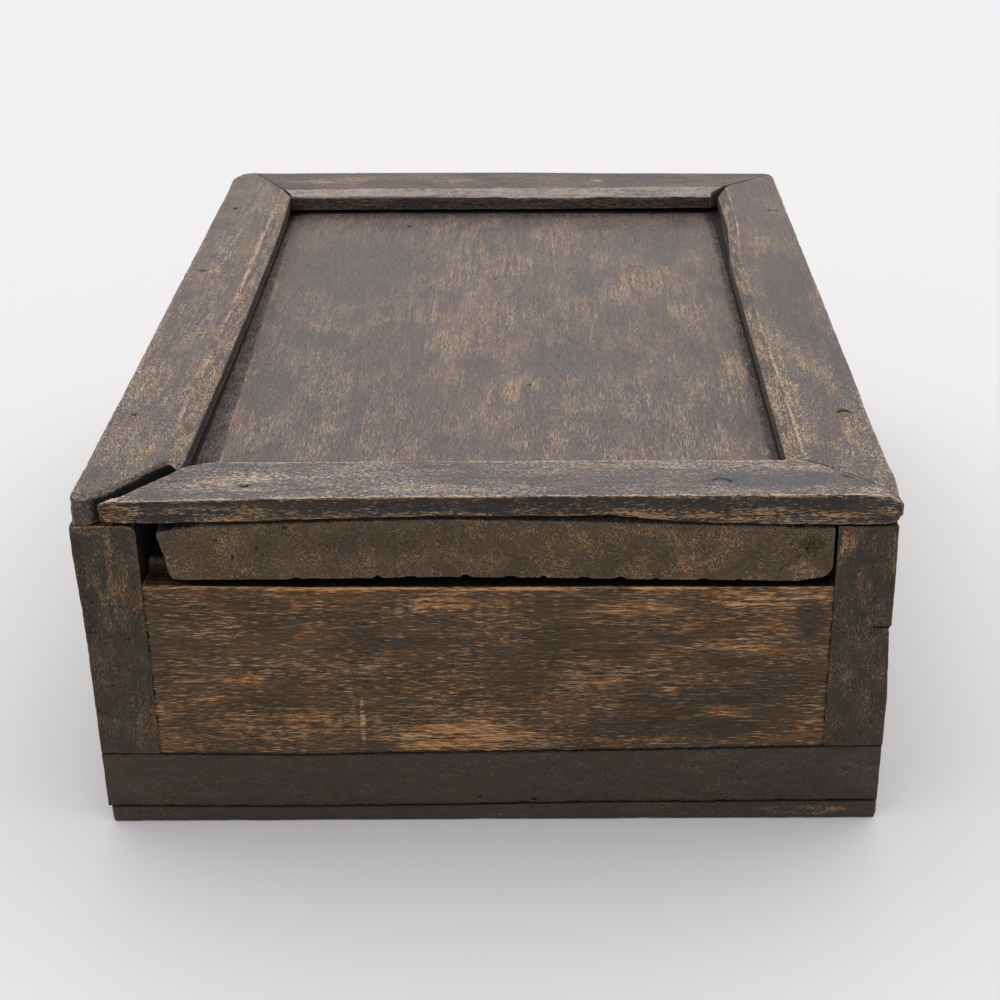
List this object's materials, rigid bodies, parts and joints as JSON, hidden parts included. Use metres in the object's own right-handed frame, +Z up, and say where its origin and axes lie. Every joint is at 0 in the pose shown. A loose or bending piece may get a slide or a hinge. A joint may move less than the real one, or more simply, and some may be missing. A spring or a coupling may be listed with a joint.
{
  "type": "spice box",
  "caption": "Low wooden box with thick board walls, inner compartments and a framed plank lid that slides out to the front.",
  "frame": {"origin": "middle of the underside, at the height of the surface the box stands on", "axes": "+Z up; the front, where the lid slides out, faces -Y; +X is to the right as seen from the front"},
  "size_m": [0.22, 0.3, 0.104],
  "materials": {
    "side_wood": "old dark hardwood with handling grime, nearly black end grain",
    "floor_wood": "old dark hardwood, nearly black end grain",
    "front_wood": "dark brown hardwood with lighter worn streaks along the grain",
    "rail_wood": "grey-brown worn hardwood with pale worn edges",
    "lid_wood": "grey-brown worn hardwood, darker along its edges",
    "inside_wood": "plain brown hardwood, dusty",
    "peg_wood": "lighter brown wooden pegs, worn flush",
    "nail_iron": "dark rusted iron"
  },
  "bodies": {
    "box": {"under_board": "floor_wood", "floor_board": "floor_wood", "left_side_lower": "side_wood", "left_side_upper": "side_wood", "right_side_lower": "side_wood", "right_side_upper": "side_wood", "front_board": "front_wood", "back_board": "front_wood", "left_runner": "inside_wood", "right_runner": "inside_wood", "long_divider": "inside_wood", "cross_divider_front": "inside_wood", "cross_divider_rear": "inside_wood", "left_rail": "rail_wood", "right_rail": "rail_wood", "back_rail": "rail_wood", "left_rail_pegs": "peg_wood", "right_rail_pegs": "peg_wood", "back_rail_pegs": "peg_wood", "left_side_dowels": "peg_wood", "right_side_dowels": "peg_wood", "floor_nails": "nail_iron", "front_board_nails": "nail_iron", "back_board_nails": "nail_iron", "left_runner_nails": "nail_iron", "right_runner_nails": "nail_iron"},
    "lid": {"lid_board": "lid_wood", "front_rail": "rail_wood", "front_rail_nails": "nail_iron"}
  },
  "joints": [
    {"name": "lid_slide", "type": "slide", "parent": "box", "child": "lid", "axis": [0, -1, 0], "range_m": [0, 0.29]}
  ]
}
